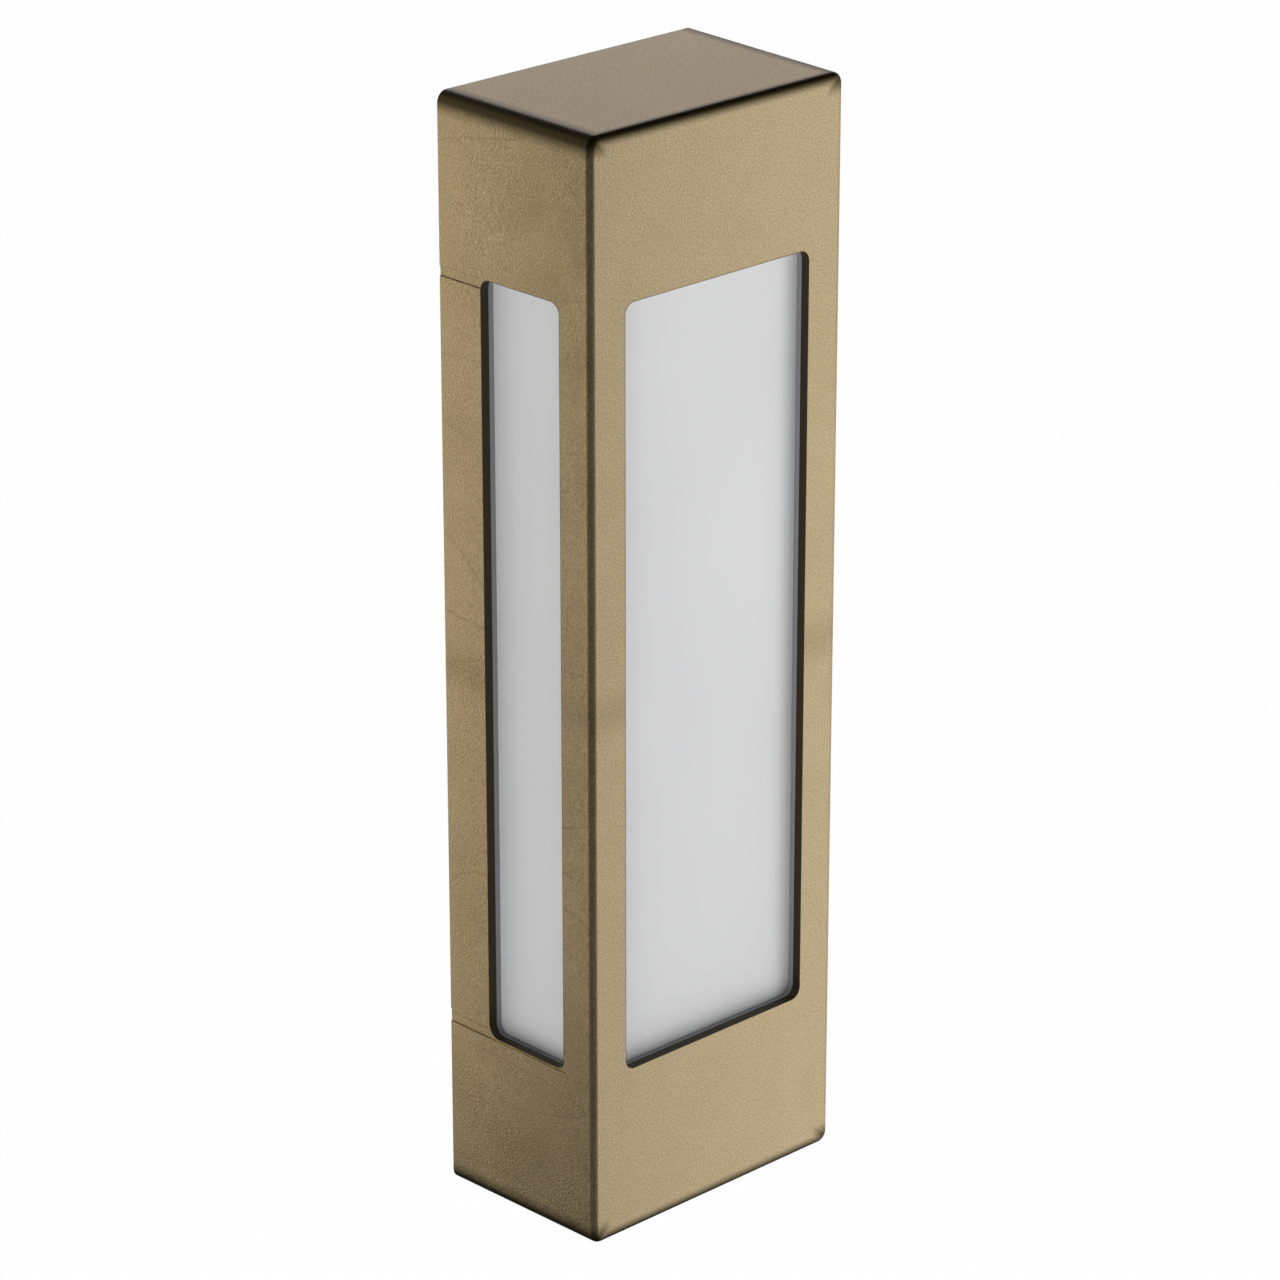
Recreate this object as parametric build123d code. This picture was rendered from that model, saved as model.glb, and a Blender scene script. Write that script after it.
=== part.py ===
from build123d import *
import math
import os

# Outdoor LED wall lantern: a slim moulded box with opal panes in its front and both sides.
# Millimetres. The origin is the middle of the wall face. +X is to the right as one looks at
# the lantern, +Y goes into the wall, +Z is up. A "reach" is a distance out from the wall.

# ---- Outer shell ----
HEIGHT = 300.0
WIDTH = 88.0
DEPTH = 54.0
WALL = 2.5
SIDE_DRAFT = 0.8
END_DRAFT = 0.8
CORNER_R = 3.0
FRONT_EDGE_R = 1.6

# ---- Windows, measured by the opaque strips around them ----
TOP_BAND = 44.7
BOTTOM_BAND = 47.7
FRONT_POST = 11.6
SIDE_FRONT_POST = 11.1
SIDE_REAR_POST = 15.0
WINDOW_R = 3.0
WITNESS_H = 2.6
WITNESS_DEPTH = 0.25
WITNESS_LIP = 0.7

# ---- Panes, their gaskets and the white chamber that holds them ----
PANE_T = 2.5
PANE_LAP = 4.0
GASKET_T = 1.8
GASKET_SET_BACK = 0.15
CHAMBER_WALL = 2.0
CHAMBER_RIM = 6.2
CHAMBER_REAR = 11.0
CHAMBER_CLEAR = 0.8
LUG_H = 14.0
LUG_W = 12.0
LUG_BOSS_R = 3.5

# ---- Light source ----
PLATE_T = 1.5
PLATE_SEAT = 12.5
PLATE_SCREW_FROM_SIDE = 9.0
PLATE_SCREW_FROM_END = 4.0
PLATE_BOSS_H = 14.0
PLATE_BOSS_HALF = 3.8
PLATE_SCREW_DEPTH = 10.0
BOARD_W = 20.0
BOARD_T = 1.6
BOARD_FROM_END = 7.5
BOARD_SCREW_FROM_END = 4.0
CHIP_PITCH = 16.0
CHIP_SIZE = (3.5, 0.8, 2.8)
CHIP_COLUMN_X = 5.0
CHIP_FROM_END = 10.0
CHIP_LENS_R = 1.1
CHIP_LENS_DEPTH = 0.3
BOARD_CORNER_R = 1.5

# ---- LED driver ----
DRIVER_D = 18.0
DRIVER_H = 24.0
DRIVER_WALL = 1.5
DRIVER_TAB = 6.0
DRIVER_TAB_T = 2.0
DRIVER_TAB_HALF = 4.0
DRIVER_SIDE_ROOM = 5.44
DRIVER_FRONT_ROOM = 1.3
DRIVER_LEAD_RISE = 10.0
DRIVER_POST_R = 3.0
DRIVER_POST_H = 7.0
DRIVER_POST_FLOOR = 1.0
DRIVER_BOARD_T = 1.6
DRIVER_BOARD_LIFT = 1.2
TRANSFORMER = (11.0, 9.0, 11.0)
INPUT_CAP_R = 4.5
OUTPUT_CAP_R = 4.0
CAP_H = 8.5
CAP_GAP = 0.6
TRANSFORMER_EDGE_R = 1.0
CONTROLLER = (6.0, 1.6, 4.0)
CONTROLLER_RISE = 3.5
COMPONENTS_RISE = 3.0
DRIVER_CORNER_R = 2.0

# ---- Rear cover, its seal and the foam ring ----
COVER_REACH = 5.2
COVER_T = 2.2
SKIRT_T = 3.2
SEAL_LIP = 0.9
SEAL_W = 2.0
SEAL_GROOVE = 1.4
FOAM_T = 2.6
COVER_BOSS_R = 4.0
COVER_BOSS_INSET = 6.7
COVER_BOSS_WEB = 2.0
COVER_RIB_W = 1.6
COVER_RIB_H = 1.2
COVER_RIB_FROM_CHAMBER = 12.0
VENT_R = 1.5
VENT_PATCH_R = 5.0
VENT_PATCH_T = 0.3
VENT_BELOW_CHAMBER = 30.0
PILOT_DEPTH = 14.0
WEEP_HALF = 3.0
WEEP_DEPTH = 2.0

# ---- Wiring pocket in the rear cover ----
POCKET_WALL = 2.0
POCKET_WIRE_SHARE = 0.6
POCKET_H = 26.0
POCKET_TO_BOSS = 0.6
LEAD_SLOT_L = 14.0
LEAD_SLOT_W = 3.4
GROMMET_LIP = 0.8
GROMMET_LIP_T = 1.2

# ---- Lever terminal ----
TERMINAL_SIZE = (18.0, 18.0, 11.0)
TERMINAL_BACK_ROOM = 5.5
CHEEK_T = 1.5
CHEEK_H = 6.0
CHEEK_SHORT = 4.0
POLE_X = 4.5
LEVER_L = 11.0
LEVER_W = 6.0
LEVER_T = 2.2
LEVER_PIN_R = 1.0
LEVER_PIN_OUT = 0.7
LEVER_BELOW_TOP = 1.6
LEVER_SIDE_GAP = 0.2
LEVER_SLOT_ROOM = 0.6
GRIP_L = 2.0
GRIP_RISE = 1.2
SCOOP_R = 2.2
SCOOP_RISE = 1.6
SCOOP_FROM_GRIP = 3.0
ENTRY_R = 1.8
ENTRY_RISE = 4.2
ENTRY_DEPTH = 10.0
FUNNEL_FLARE = 0.7
LEAD_GRIP = 5.0
CONTACT_W = 2.4
CONTACT_LIFT = 0.2
CONTACT_FROM_NEAR = 2.0
CONTACT_FROM_FAR = 1.0
TERMINAL_CHAMFER = 0.8

# ---- Wall bracket and captive fixing screws ----
SHEET_T = 1.5
WALL_SLOT_Z = 70.0
WALL_SLOT_W = 5.5
WALL_SLOT_L = 14.0
TONGUE_W = 12.0
TONGUE_L = 17.0
TONGUE_FROM_BOSS = 16.7
TONGUE_DROP = 9.0
TONGUE_CHAMFER = 3.0
SOCKET_WALL = 1.5
SOCKET_END_ROOM = 1.5
EAR_W = 10.0
EAR_FROM_WALL = 1.0
EAR_OVER_INSERT = 0.5
EAR_PAST_SCREW = 6.0
EAR_CORNER_R = 2.0
BRACKET_CORNER_R = 4.0
FLANGE_CORNER_R = 1.2
SCREW_REACH = 15.0
SCREW_SHANK_R = 1.95
SCREW_HEAD_R = 3.6
SCREW_HEAD_H = 2.4
SCREW_HEAD_EDGE_R = 0.5
SCREW_POINT = 0.6
WASHER_T = 0.8
CUP_WEB = 2.0
INSERT_R = 2.8
INSERT_H = 6.0
INSERT_BOSS_WALL = 1.7
CUP_WALL = 2.0
CUP_GAP = 0.5
DRIVE_DEPTH = 1.2
DRIVE_SPAN = 4.4
DRIVE_W = 0.9
FLANGE_H = 3.2
FLANGE_ABOVE_EAR = 34.0
FLANGE_BELOW_TOP = 12.0

# ---- Cable grommet in the bracket ----
CABLE_R = 4.0
CABLE_HOLE_R = 7.0
DISH_R = 12.5
CABLE_GROMMET_LIP = 2.2
CABLE_GROMMET_BACK = 1.2
CABLE_GROMMET_FRONT = 1.4

# ---- Leads and small screws ----
LEAD_R = 1.0
LEAD_BEND = 3.0
LEAD_TIGHT_BEND = 2.4
LED_LEAD_BEND = 2.0
LED_LEAD_DROP = 11.5
LED_LEAD_STEP = 4.0
LED_LEAD_SLOT = 9.0
LED_LEAD_OVERLAP = 3.0
M3_R = 1.25
M3_HEAD_R = 2.8
M3_HEAD_H = 1.7
M3_DRIVE_R = 0.9
M3_DRIVE_SPAN = 3.4
M3_DRIVE_W = 0.7
M3_DRIVE_FLOOR = 0.8
CHAMBER_SCREW_L = 5.8
PLATE_SCREW_L = 8.0
COVER_SCREW_L = 10.0

# ---- Named clearances ----
RUNNING = 0.05
SLIP = 0.3
SNUG = 0.1
PAST = 1.0


# ---- Sizes that follow from the ones above ----
def half_width(reach, inset):
    return WIDTH / 2 - reach * math.tan(math.radians(SIDE_DRAFT)) - inset


def half_height(reach, inset):
    return HEIGHT / 2 - reach * math.tan(math.radians(END_DRAFT)) - inset


window_top = HEIGHT / 2 - TOP_BAND
window_bottom = -HEIGHT / 2 + BOTTOM_BAND
window_mid = (window_top + window_bottom) / 2
window_h = window_top - window_bottom
front_window_half = half_width(DEPTH, FRONT_POST)
side_window_near = SIDE_REAR_POST
side_window_far = DEPTH - SIDE_FRONT_POST
side_window_mid = (side_window_near + side_window_far) / 2
side_window_w = side_window_far - side_window_near
pane_h = window_h + 2 * PANE_LAP

shell_floor = DEPTH - WALL
front_pane_far = shell_floor - GASKET_T
chamber_inset = WALL + GASKET_T + PANE_T + SNUG
chamber_far = front_pane_far - PANE_T - SNUG
chamber_rise = window_h / 2 + CHAMBER_RIM
chamber_top = window_mid + chamber_rise
chamber_base = window_mid - chamber_rise
chamber_half = half_width(chamber_far, chamber_inset)
lug_x = chamber_half - LUG_W / 2
lug_rise = chamber_rise + LUG_H / 2
lug_near = chamber_far - CHAMBER_WALL

plate_inset = chamber_inset + CHAMBER_WALL + SLIP
plate_rise = chamber_rise - CHAMBER_WALL - SLIP
board_front = PLATE_SEAT + BOARD_T
board_rise = plate_rise - BOARD_FROM_END
plate_screw_x = chamber_half - PLATE_SCREW_FROM_SIDE
plate_screw_rise = chamber_rise - CHAMBER_WALL - PLATE_SCREW_FROM_END
chip_rows = int(2 * (board_rise - CHIP_FROM_END) // CHIP_PITCH) + 1

driver_half = chamber_half - DRIVER_TAB - DRIVER_SIDE_ROOM
driver_far = lug_near - M3_HEAD_H - DRIVER_FRONT_ROOM
driver_near = driver_far - DRIVER_D
driver_mid = (driver_far + driver_near) / 2
driver_base = chamber_top
driver_top = driver_base + DRIVER_H
driver_tab_x = driver_half + DRIVER_TAB / 2

cover_front = COVER_REACH + COVER_T
cover_inset = WALL + SLIP
skirt_near = FOAM_T
seal_near = skirt_near + SEAL_LIP
boss_x = half_width(cover_front, WALL + COVER_BOSS_INSET)
boss_z = half_height(cover_front, WALL + COVER_BOSS_INSET)

cup_depth = SCREW_HEAD_H + WASHER_T
shell_bottom = -half_height(SCREW_REACH, 0)
cup_roof = shell_bottom + cup_depth
cup_top = cup_roof + CUP_WEB
pocket_base = cup_top + SLIP
pocket_floor = pocket_base + POCKET_WALL
pocket_top = pocket_base + POCKET_H
pocket_ceiling = pocket_top - POCKET_WALL
pocket_half = boss_x - COVER_BOSS_R - POCKET_TO_BOSS
pocket_inner = pocket_half - POCKET_WALL
ear_x = pocket_inner - EAR_FROM_WALL - EAR_W / 2
ear_base = pocket_base + INSERT_H + EAR_OVER_INSERT
ear_reach = SCREW_REACH + EAR_PAST_SCREW
screw_tip = ear_base - SNUG
bracket_half = pocket_inner
tongue_x = boss_x - TONGUE_FROM_BOSS
tongue_z = half_height(0, TONGUE_DROP)
bracket_top = tongue_z + SHEET_T / 2
cable_grommet_front = 2 * SHEET_T + CABLE_GROMMET_FRONT

# The spare depth between the cable grommet and the chamber's screws is shared: part is room for
# wires behind the terminal, and the rest is air in front of the pocket.
terminal_w, terminal_d, terminal_h = TERMINAL_SIZE
pocket_contents = terminal_d + TERMINAL_BACK_ROOM + POCKET_WALL
spare_depth = lug_near - M3_HEAD_H - cable_grommet_front - pocket_contents
terminal_near = cable_grommet_front + POCKET_WIRE_SHARE * spare_depth
terminal_far = terminal_near + terminal_d
pocket_inner_far = terminal_far + TERMINAL_BACK_ROOM
pocket_far = pocket_inner_far + POCKET_WALL
terminal_base = pocket_floor + SNUG
terminal_top = terminal_base + terminal_h
cable_z = terminal_top + CABLE_HOLE_R
lever_axis_reach = terminal_near + LEVER_PIN_R + LEVER_L
lever_axis_z = terminal_top - LEVER_BELOW_TOP
lever_slot_floor = lever_axis_z - LEVER_T / 2 - SLIP
entry_z = terminal_base + ENTRY_RISE

lead_up_reach = (terminal_far + pocket_inner_far) / 2
lead_cross_z = (pocket_top + chamber_base) / 2
lead_back_reach = (PLATE_SEAT - PLATE_T + cover_front) / 2
lead_driver_z = driver_base + DRIVER_LEAD_RISE
led_lead_z = window_mid + plate_rise - LED_LEAD_DROP


# ---- Building blocks ----
def block(x0, x1, near, far, z0, z1):
    """A box given by its x limits, its two reaches and its z limits."""
    middle = Pos((x0 + x1) / 2, -(near + far) / 2, (z0 + z1) / 2)
    return middle * Box(abs(x1 - x0), abs(far - near), abs(z1 - z0))


def rod(x, z, near, far, r):
    """A round bar that points straight out from the wall."""
    return Pos(x, -(near + far) / 2, z) * Rot(90, 0, 0) * Cylinder(r, far - near)


def post(x, reach, z0, z1, r):
    """A round bar that stands upright."""
    return Pos(x, -reach, (z0 + z1) / 2) * Cylinder(r, z1 - z0)


def spindle(x0, x1, reach, z, r):
    """A round bar that lies left to right."""
    return Pos((x0 + x1) / 2, -reach, z) * Rot(0, 90, 0) * Cylinder(r, abs(x1 - x0))


def upright(reach, z=0.0):
    """The plane that faces out from the wall at this reach, centred at a height, its y axis up."""
    return Plane(origin=(0, -reach, z), x_dir=(1, 0, 0), z_dir=(0, -1, 0))


def outline(reach, inset):
    """The lantern's cross-section at one reach, drawn in from the outer skin."""
    radius = max(CORNER_R - inset, 0.6)
    size = RectangleRounded(2 * half_width(reach, inset), 2 * half_height(reach, inset), radius)
    return upright(reach) * size


def slab(near, far, inset):
    """A solid slice of the tapered box between two reaches."""
    return loft([outline(near, inset), outline(far, inset)], ruled=True)


def ring(near, far, outer_inset, inner_inset):
    """A slice of the tapered box with its middle taken out."""
    return slab(near, far, outer_inset) - slab(near - PAST, far + PAST, inner_inset)


def panel(plane, width, height, radius, start, thick):
    """A round-cornered sheet on a plane, from one depth to the next."""
    face = plane.offset(start) * RectangleRounded(width, height, radius)
    return extrude(face, amount=thick)


def both_sides(solid):
    """The piece and its mirror image across the lantern's middle."""
    return [solid, mirror(solid, Plane.YZ)]


def four_corners(x, rise, middle=0.0):
    """Four places: x to each side, and as far above a middle height as below it."""
    return [(side * x, middle + end * rise) for end in (1, -1) for side in (1, -1)]


boss_places = four_corners(boss_x, boss_z)
lug_places = four_corners(lug_x, lug_rise, window_mid)
plate_screw_places = four_corners(plate_screw_x, plate_screw_rise, window_mid)


def small_screw(x, z, seat, length):
    """An M3 pan-head screw driven away from the wall, its head on a seat at this reach."""
    head = rod(x, z, seat - M3_HEAD_H, seat, M3_HEAD_R)
    head = fillet(head.edges().sort_by(Axis.Y)[-1], 0.6)
    rim = seat - M3_HEAD_H - PAST
    floor = seat - M3_DRIVE_FLOOR
    head -= rod(x, z, rim, floor, M3_DRIVE_R)
    for wide, tall in ((M3_DRIVE_SPAN / 2, M3_DRIVE_W / 2), (M3_DRIVE_W / 2, M3_DRIVE_SPAN / 2)):
        head -= block(x - wide, x + wide, rim, floor, z - tall, z + tall)
    return head + rod(x, z, seat, seat + length, M3_R)


def small_screws(places, seat, length):
    return [small_screw(x, z, seat, length) for x, z in places]


def side_plane():
    """The plane on the right wall's inner face, its normal pointing into the lantern."""
    lean = math.radians(SIDE_DRAFT)
    along = (-math.sin(lean), -math.cos(lean), 0)
    inward = (-math.cos(lean), math.sin(lean), 0)
    start = (half_width(side_window_mid, WALL), -side_window_mid, window_mid)
    return Plane(origin=start, x_dir=along, z_dir=inward)


def front_opening(reach_in, grow=0.0):
    """The front window as a cutter, from past the front face in to a reach."""
    width = 2 * (front_window_half + grow)
    height = window_h + 2 * grow
    thick = DEPTH + PAST - reach_in
    return panel(upright(reach_in, window_mid), width, height, WINDOW_R + grow, 0, thick)


def side_openings(x_in):
    """Both side windows as cutters, from outside the skin in to a distance from the middle."""
    plane = Plane(origin=(x_in, -side_window_mid, window_mid), x_dir=(0, -1, 0), z_dir=(1, 0, 0))
    thick = WIDTH / 2 + PAST - x_in
    return both_sides(panel(plane, side_window_w, window_h, WINDOW_R, 0, thick))


def lead(points, bends):
    """An insulated wire along straight runs joined by tangent arcs."""
    path = FilletPolyline(*points, radius=bends)
    start = Plane(origin=path @ 0, z_dir=path % 0)
    return sweep(start * Circle(LEAD_R), path=path)


# ---- Shell ----
def make_housing():
    skin = slab(0, DEPTH, 0)
    skin = fillet(skin.faces().sort_by(Axis.Y)[0].edges(), FRONT_EDGE_R)
    shell = skin - slab(-PAST, shell_floor, WALL)
    shell -= front_opening(shell_floor - PAST)
    shell -= side_openings(half_width(DEPTH, WALL) - PAST)
    # Each long boss for a rear-cover screw is webbed to the two walls beside it.
    for x, z in boss_places:
        wall_x = math.copysign(half_width(0, WALL / 2), x)
        wall_z = math.copysign(half_height(0, WALL / 2), z)
        boss = rod(x, z, cover_front, shell_floor + WALL / 2, COVER_BOSS_R)
        web = COVER_BOSS_WEB / 2
        boss += block(x, wall_x, cover_front, shell_floor + WALL / 2, z - web, z + web)
        boss += block(x - web, x + web, cover_front, shell_floor + WALL / 2, z, wall_z)
        shell += boss & slab(0, DEPTH - WALL / 2, WALL / 2)
        shell -= rod(x, z, cover_front - PAST, cover_front + PILOT_DEPTH, M3_R + RUNNING)
    for x, z in lug_places:
        shell += rod(x, z, chamber_far, shell_floor + WALL / 2, LUG_BOSS_R)
        shell -= rod(x, z, chamber_far - PAST, shell_floor, M3_R + RUNNING)
    # The fixing screws' heads sit in cups in the underside.
    for x in (-ear_x, ear_x):
        shell += post(x, SCREW_REACH, shell_bottom + WALL / 2, cup_top, SCREW_HEAD_R + CUP_WALL)
        shell -= post(x, SCREW_REACH, shell_bottom - PAST, cup_roof, SCREW_HEAD_R + CUP_GAP)
        shell -= post(x, SCREW_REACH, shell_bottom, cup_top + PAST, SCREW_SHANK_R + SLIP)
    # Weep slot in the rear edge of the underside.
    weep_top = -half_height(0, WALL + SNUG)
    shell -= block(-WEEP_HALF, WEEP_HALF, -PAST, WEEP_DEPTH, -HEIGHT / 2 - PAST, weep_top)
    # Shallow bands where the side cores of the mould meet the shell: behind each side window at
    # its top and bottom, and as a narrow lip along its lower edge.
    lip_z = window_bottom - WITNESS_LIP
    lip_far = side_window_far + WITNESS_LIP
    core_skin = slab(-2 * PAST, DEPTH, WITNESS_DEPTH)
    for side in (1, -1):
        x_in = side * half_width(0, WALL)
        x_out = side * WIDTH
        for far, z0, z1 in (
            (side_window_near, window_top - WITNESS_H, window_top),
            (side_window_near, lip_z, lip_z + WITNESS_H),
            (lip_far, lip_z, window_bottom + WINDOW_R),
        ):
            shell -= block(x_in, x_out, -PAST, far, z0, z1) - core_skin
    return shell


def make_front_gasket():
    width = 2 * (front_window_half + PANE_LAP)
    sheet = panel(upright(front_pane_far, window_mid), width, pane_h, WINDOW_R, 0, GASKET_T)
    return sheet - front_opening(front_pane_far - PAST, GASKET_SET_BACK)


def make_front_pane():
    width = 2 * (front_window_half + PANE_LAP)
    return panel(upright(front_pane_far - PANE_T, window_mid), width, pane_h, WINDOW_R, 0, PANE_T)


def make_side_gasket():
    width = side_window_w + 2 * PANE_LAP
    sheet = panel(side_plane(), width, pane_h, WINDOW_R, 0, GASKET_T)
    hole_w = side_window_w + 2 * GASKET_SET_BACK
    hole_h = window_h + 2 * GASKET_SET_BACK
    return sheet - panel(side_plane(), hole_w, hole_h, WINDOW_R, -PAST, GASKET_T + 2 * PAST)


def make_side_pane():
    width = side_window_w + 2 * PANE_LAP
    return panel(side_plane(), width, pane_h, WINDOW_R, GASKET_T, PANE_T)


# ---- Light chamber and light source ----
def make_light_chamber():
    outer = slab(CHAMBER_REAR, chamber_far, chamber_inset)
    outer &= block(-WIDTH, WIDTH, 0, DEPTH, chamber_base, chamber_top)
    inner = slab(CHAMBER_REAR - PAST, lug_near, chamber_inset + CHAMBER_WALL)
    inner &= block(-WIDTH, WIDTH, 0, DEPTH, chamber_base + CHAMBER_WALL, chamber_top - CHAMBER_WALL)
    body = outer - inner - front_opening(lug_near - PAST)
    body -= side_openings(chamber_half - CHAMBER_WALL - CHAMBER_CLEAR)
    for x, z in plate_screw_places:
        outward = math.copysign(1, z)
        inner_end = z - outward * PLATE_BOSS_HALF
        outer_end = z + outward * (PLATE_SCREW_FROM_END + CHAMBER_WALL / 2)
        x0 = x - PLATE_BOSS_HALF
        x1 = x + PLATE_BOSS_HALF
        body += block(x0, x1, PLATE_SEAT, PLATE_SEAT + PLATE_BOSS_H, inner_end, outer_end)
        body -= rod(x, z, PLATE_SEAT - PAST, PLATE_SEAT + PLATE_SCREW_DEPTH, M3_R + RUNNING)
    for x, z in lug_places:
        outward = math.copysign(1, z)
        root = z - outward * (LUG_H / 2 + CHAMBER_WALL)
        tip = z + outward * LUG_H / 2
        body += block(x - LUG_W / 2, x + LUG_W / 2, lug_near, chamber_far, root, tip)
        body -= rod(x, z, lug_near - PAST, chamber_far + PAST, M3_R + SLIP)
    for x in (-driver_tab_x, driver_tab_x):
        post_base = chamber_top - DRIVER_POST_H
        body += post(x, driver_mid, post_base, chamber_top - CHAMBER_WALL / 2, DRIVER_POST_R)
        body -= post(x, driver_mid, post_base + DRIVER_POST_FLOOR, chamber_top + PAST, M3_R + RUNNING)
    return body


def make_led_plate():
    sheet = slab(PLATE_SEAT - PLATE_T, PLATE_SEAT, plate_inset)
    sheet &= block(-WIDTH, WIDTH, 0, DEPTH, window_mid - plate_rise, window_mid + plate_rise)
    for x, z in plate_screw_places:
        sheet -= rod(x, z, 0, DEPTH, M3_R + SLIP)
    for z in board_screw_places():
        sheet -= rod(0, z, 0, DEPTH, M3_R + RUNNING)
    # Both LED leads come through one slot beside the board.
    slot = panel(upright(0, led_lead_z), LED_LEAD_SLOT, LED_LEAD_SLOT, LED_LEAD_SLOT / 3, 0, DEPTH)
    return sheet - slot.moved(Pos(led_lead_x(0.5), 0, 0))


def board_screw_places():
    rise = board_rise - BOARD_SCREW_FROM_END
    return (window_mid - rise, window_mid, window_mid + rise)


def led_lead_x(number):
    """The LED leads stand evenly between the board's edge and the plate screws' heads."""
    gap = plate_screw_x - M3_HEAD_R - BOARD_W / 2
    return BOARD_W / 2 + (number + 1) * gap / 3


def make_led_board():
    board = panel(upright(PLATE_SEAT, window_mid), BOARD_W, 2 * board_rise, BOARD_CORNER_R, 0, BOARD_T)
    for z in board_screw_places():
        board -= rod(0, z, 0, DEPTH, M3_R + SLIP)
    return board


def make_led_chips():
    chips = []
    length, height, width = CHIP_SIZE
    first = window_mid - (chip_rows - 1) * CHIP_PITCH / 2
    for row in range(chip_rows):
        z = first + row * CHIP_PITCH
        for x in (-CHIP_COLUMN_X, CHIP_COLUMN_X):
            low = z - length / 2
            face = board_front + height
            chip = block(x - width / 2, x + width / 2, board_front, face, low, low + length)
            chips.append(chip - rod(x, z, face - CHIP_LENS_DEPTH, face + PAST, CHIP_LENS_R))
    return chips


# ---- LED driver ----
def driver_inside(gap):
    """Half width, lowest and highest z inside the driver case, less a gap."""
    shrink = DRIVER_WALL + gap
    return driver_half - shrink, driver_base + shrink, driver_top - shrink


def make_driver_case():
    case = block(-driver_half, driver_half, driver_near, driver_far, driver_base, driver_top)
    case = fillet(case.edges().filter_by(Axis.Y), DRIVER_CORNER_R)
    half, low, high = driver_inside(0)
    case -= block(-half, half, driver_near - PAST, driver_far - DRIVER_WALL, low, high)
    tab_near = driver_mid - DRIVER_TAB_HALF
    tab_far = driver_mid + DRIVER_TAB_HALF
    tab_top = driver_base + DRIVER_TAB_T
    for side in (1, -1):
        x_in = side * (driver_half - DRIVER_WALL / 2)
        x_out = side * (driver_half + DRIVER_TAB)
        tab = block(x_in, x_out, tab_near, tab_far, driver_base, tab_top)
        case += tab - post(side * driver_tab_x, driver_mid, driver_base - PAST, tab_top + PAST, M3_R + SLIP)
    return case


def make_driver_lid():
    half, low, high = driver_inside(SNUG)
    lid = block(-half, half, driver_near, driver_near + DRIVER_WALL, low, high)
    for x in lead_columns() + [led_lead_x(0), led_lead_x(1)]:
        lid -= rod(x, lead_driver_z, 0, DEPTH, LEAD_R + RUNNING)
    return lid


def driver_board_near():
    return driver_far - DRIVER_WALL - DRIVER_BOARD_LIFT - DRIVER_BOARD_T


def make_driver_board():
    half, low, high = driver_inside(SLIP)
    near = driver_board_near()
    return block(-half, half, near, near + DRIVER_BOARD_T, low, high)


def make_driver_components():
    """The transformer, a capacitor on each side of it, and the controller chip below them."""
    board = driver_board_near()
    mid_z = driver_base + DRIVER_H / 2 + COMPONENTS_RISE
    width, depth, height = TRANSFORMER
    core = block(-width / 2, width / 2, board - depth, board, mid_z - height / 2, mid_z + height / 2)
    core = fillet(core.edges().filter_by(Axis.Y), TRANSFORMER_EDGE_R)
    input_x = -(width / 2 + CAP_GAP + INPUT_CAP_R)
    output_x = width / 2 + CAP_GAP + OUTPUT_CAP_R
    input_cap = rod(input_x, mid_z, board - CAP_H, board, INPUT_CAP_R)
    output_cap = rod(output_x, mid_z, board - CAP_H, board, OUTPUT_CAP_R)
    chip_w, chip_d, chip_h = CONTROLLER
    low = driver_base + CONTROLLER_RISE
    chip = block(input_x - chip_w / 2, input_x + chip_w / 2, board - chip_d, board, low, low + chip_h)
    return [core, input_cap, output_cap, chip]


# ---- Rear cover ----
def make_rear_cover():
    cover = slab(COVER_REACH, cover_front, cover_inset)
    cover += ring(skirt_near, cover_front, cover_inset, cover_inset + SKIRT_T)
    cover -= ring(seal_near, seal_near + SEAL_W, cover_inset - PAST, cover_inset + SEAL_GROOVE)
    cover += block(-pocket_half, pocket_half, COVER_REACH, pocket_far, pocket_base, pocket_top)
    # Bosses for the brass inserts stand on the pocket floor; the pocket is hollowed around them.
    hollow = block(-pocket_inner, pocket_inner, -PAST, pocket_inner_far, pocket_floor, pocket_ceiling)
    for x in (-ear_x, ear_x):
        hollow -= post(x, SCREW_REACH, pocket_base, pocket_base + INSERT_H, INSERT_R + INSERT_BOSS_WALL)
    cover -= hollow - terminal_cheeks(0)
    for x in (-ear_x, ear_x):
        cover -= post(x, SCREW_REACH, pocket_base - PAST, pocket_top - POCKET_WALL - PAST, INSERT_R)
    # Sockets for the bracket's tongues.
    half = TONGUE_W / 2 + SLIP
    rise = SHEET_T / 2 + SLIP
    end = TONGUE_L + SOCKET_END_ROOM
    for x in (-tongue_x, tongue_x):
        x0 = x - half - SOCKET_WALL
        x1 = x + half + SOCKET_WALL
        low = tongue_z - rise - SOCKET_WALL
        high = tongue_z + rise + SOCKET_WALL
        cover += block(x0, x1, COVER_REACH, end + SOCKET_WALL, low, high)
        cover -= block(x - half, x + half, 0, end, tongue_z - rise, tongue_z + rise)
    # Stiffening ribs on the wall side, clear of the wall screws' heads.
    rib_z = chamber_top - COVER_RIB_FROM_CHAMBER
    half = half_width(COVER_REACH, cover_inset + SKIRT_T / 2)
    for z in (-rib_z, -WALL_SLOT_Z / 2, WALL_SLOT_Z / 2, rib_z):
        low = z - COVER_RIB_W / 2
        cover += block(-half, half, COVER_REACH - COVER_RIB_H, cover_front, low, low + COVER_RIB_W)
    for x, z in boss_places:
        cover -= rod(x, z, 0, cover_front + PAST, M3_R + SLIP)
    cover -= rod(0, vent_z(), 0, cover_front + PAST, VENT_R)
    return cover - grommet_slot(pocket_ceiling - PAST, POCKET_WALL + 2 * PAST, 0)


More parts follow.
